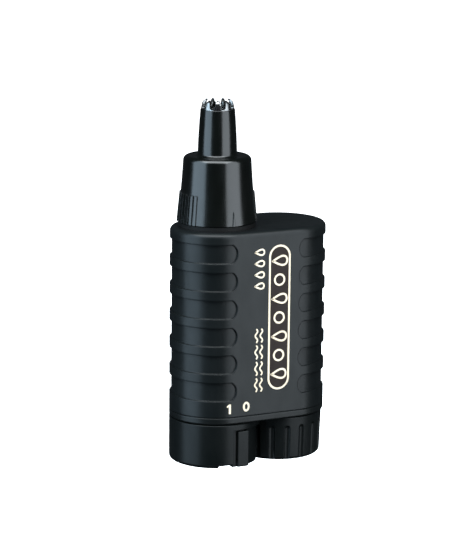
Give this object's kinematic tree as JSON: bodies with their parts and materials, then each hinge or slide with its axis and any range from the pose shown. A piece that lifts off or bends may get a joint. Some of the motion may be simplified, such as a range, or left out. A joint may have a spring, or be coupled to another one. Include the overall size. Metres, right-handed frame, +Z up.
{
  "type": "nose hair trimmer",
  "caption": "Slim upright nose hair trimmer: motor tube with tapered cutter nozzle and rotary foot switch beside a battery tube with a ribbed cap.",
  "frame": {"origin": "middle of the foot, on the surface that the trimmer stands on", "axes": "+Z up through the nozzle end, X across both tubes with the motor at -X, front face towards -Y"},
  "size_m": [0.0448, 0.0256, 0.1],
  "materials": {
    "shell_plastic": "fine satin moulding",
    "foot_plastic": "satin moulding",
    "plate_plastic": "satin moulding",
    "nozzle_plastic": "polished",
    "blade_steel": "bright ground",
    "plated_steel": "plated",
    "contact_brass": "bright",
    "winding_copper": "enamelled copper wire",
    "magnet": "ferrite",
    "carbon": "pressed carbon",
    "seal_rubber": "soft",
    "inner_plastic": "natural moulding",
    "cell_wrap": "plain printed wrap",
    "red_insulation": "extruded",
    "black_insulation": "extruded",
    "print_cream": "pad print"
  },
  "bodies": {
    "handle": {"main_housing": "shell_plastic", "base_plate": "plate_plastic", "base_screws": "plated_steel", "deck_ring": "seal_rubber", "battery_tube": "inner_plastic", "battery_cell": "plated_steel", "cell_wrap": "cell_wrap", "cell_terminal": "plated_steel", "positive_contact": "contact_brass", "contact_strip": "contact_brass", "switch_pads": "contact_brass", "motor_can": "plated_steel", "motor_end_bell": "inner_plastic", "motor_magnets": "magnet", "front_bush": "contact_brass", "rear_bush": "contact_brass", "motor_brushes": "carbon", "motor_terminals": "contact_brass", "motor_mount": "inner_plastic", "mount_screws": "plated_steel", "deck_bush": "inner_plastic", "shaft_seal": "seal_rubber", "red_lead": "red_insulation", "black_lead": "black_insulation"},
    "drive": {"motor_shaft": "plated_steel", "rotor_core": "plated_steel", "rotor_windings": "winding_copper", "commutator": "contact_brass", "drive_coupling": "inner_plastic", "drive_shaft": "plated_steel", "blade_spring": "plated_steel", "blade_holder": "inner_plastic", "inner_blade": "blade_steel"},
    "head_slider": {"head_seal_ring": "seal_rubber"},
    "cutter_head": {"nozzle": "nozzle_plastic", "outer_blade": "blade_steel"},
    "switch": {"switch_knob": "foot_plastic", "switch_wiper": "contact_brass", "wiper_washer": "plated_steel", "knob_screw": "plated_steel", "knob_seal": "seal_rubber"},
    "cap_slider": {"cap_seal_ring": "seal_rubber"},
    "cap": {"battery_cap": "foot_plastic", "cap_insert": "inner_plastic", "cap_disc": "contact_brass", "cap_spring": "plated_steel"}
  },
  "joints": [
    {"name": "drive_spin", "type": "hinge", "parent": "handle", "child": "drive", "pos_m": [-0.0096, 0, 0.05], "axis": [0, 0, 1], "continuous": true},
    {"name": "head_lift", "type": "slide", "parent": "handle", "child": "head_slider", "axis": [0, 0, 1], "range_m": [0, 0.035]},
    {"name": "head_turn", "type": "hinge", "parent": "head_slider", "child": "cutter_head", "pos_m": [-0.0096, 0, 0.067], "axis": [0, 0, 1], "range_deg": [0, 30]},
    {"name": "switch_turn", "type": "hinge", "parent": "handle", "child": "switch", "pos_m": [-0.0096, 0, 0.006], "axis": [0, 0, 1], "range_deg": [-22.5, 0]},
    {"name": "cap_pull", "type": "slide", "parent": "handle", "child": "cap_slider", "axis": [0, 0, -1], "range_m": [0, 0.02]},
    {"name": "cap_turn", "type": "hinge", "parent": "cap_slider", "child": "cap", "pos_m": [0.0096, 0, 0.006], "axis": [0, 0, -1], "range_deg": [0, 40]}
  ]
}
